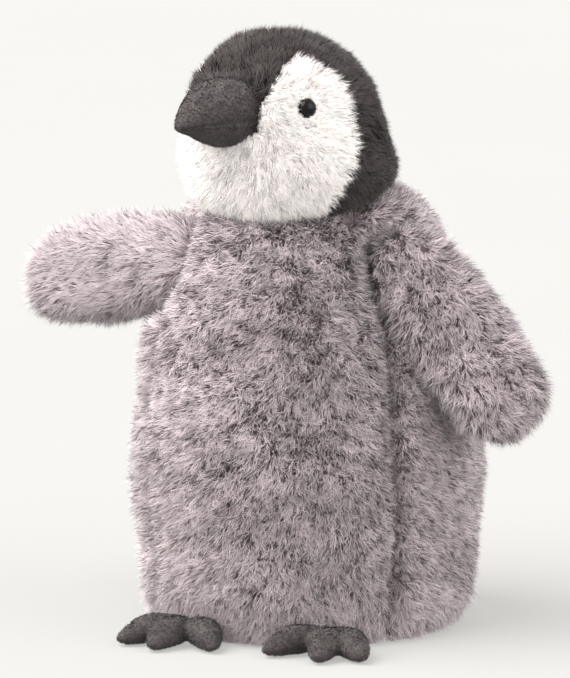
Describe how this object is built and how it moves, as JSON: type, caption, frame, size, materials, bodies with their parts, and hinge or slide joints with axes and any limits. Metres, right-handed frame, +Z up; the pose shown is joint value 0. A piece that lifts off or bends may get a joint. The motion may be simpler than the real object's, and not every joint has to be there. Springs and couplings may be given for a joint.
{
  "type": "plush penguin",
  "caption": "Stuffed standing penguin chick sewn from long-pile plush, with a turning head, swinging wings, folding feet, glossy eyes and a short-pile beak.",
  "frame": {"origin": "centre of the flat base, on the surface that the toy stands on", "axes": "+Z up, the toy faces -Y, +X is the toy's own left"},
  "size_m": [0.2351, 0.1705, 0.2548],
  "materials": {
    "body_fur": "long pile plush, mauve grey with pale tips",
    "cap_fur": "medium pile plush, charcoal",
    "face_fur": "medium pile plush, warm white",
    "suede_plush": "very short nap, dark grey, mottled",
    "eye_plastic": "glossy black",
    "washer_plastic": "natural",
    "fibre": "loose polyester fibre",
    "pouch_cloth": "plain woven",
    "pellets": "small smooth beads",
    "thread": "matt thread",
    "ribbon": "blank satin ribbon"
  },
  "bodies": {
    "torso": {"body_front_panel": "body_fur", "body_left_panel": "body_fur", "body_right_panel": "body_fur", "base_panel": "body_fur", "body_filling": "fibre", "pellet_pouch": "pouch_cloth", "pellet_fill": "pellets", "closing_stitches": "thread", "sewn_label": "ribbon"},
    "neck": {"neck_core": "fibre"},
    "head": {"head_filling": "fibre", "crown_panel": "cap_fur", "cap_left_panel": "cap_fur", "cap_right_panel": "cap_fur", "face_left_panel": "face_fur", "face_right_panel": "face_fur", "chin_panel": "face_fur", "beak_upper": "suede_plush", "beak_lower": "suede_plush", "beak_filling": "fibre", "eye_left": "eye_plastic", "eye_right": "eye_plastic", "eye_washer_left": "washer_plastic", "eye_washer_right": "washer_plastic"},
    "left_wing": {"left_wing_outer": "body_fur", "left_wing_inner": "body_fur", "left_wing_filling": "fibre", "left_wing_root": "body_fur"},
    "right_wing": {"right_wing_outer": "body_fur", "right_wing_inner": "body_fur", "right_wing_filling": "fibre", "right_wing_root": "body_fur"},
    "left_foot": {"left_foot_upper": "suede_plush", "left_foot_sole": "suede_plush", "left_foot_filling": "fibre"},
    "right_foot": {"right_foot_upper": "suede_plush", "right_foot_sole": "suede_plush", "right_foot_filling": "fibre"}
  },
  "joints": [
    {"name": "head_turn", "type": "hinge", "parent": "torso", "child": "neck", "pos_m": [0, -0.012, 0.185], "axis": [0, 0, 1], "range_deg": [-11, 59]},
    {"name": "head_nod", "type": "hinge", "parent": "neck", "child": "head", "pos_m": [0, -0.012, 0.185], "axis": [0.9135, -0.4067, 0], "range_deg": [-8, 15]},
    {"name": "left_wing_flap", "type": "hinge", "parent": "torso", "child": "left_wing", "pos_m": [0.05677, -0.02034, 0.157], "axis": [0.4698, -0.8138, 0.342], "range_deg": [-12, 80]},
    {"name": "right_wing_flap", "type": "hinge", "parent": "torso", "child": "right_wing", "pos_m": [-0.05677, -0.02034, 0.157], "axis": [0.4698, 0.8138, -0.342], "range_deg": [-57, 35]},
    {"name": "left_foot_fold", "type": "hinge", "parent": "torso", "child": "left_foot", "pos_m": [0.032, -0.055, 0.0062], "axis": [-0.9903, -0.1392, 0], "range_deg": [0, 30]},
    {"name": "right_foot_fold", "type": "hinge", "parent": "torso", "child": "right_foot", "pos_m": [-0.032, -0.055, 0.0062], "axis": [-0.9903, 0.1392, 0], "range_deg": [0, 30]}
  ]
}
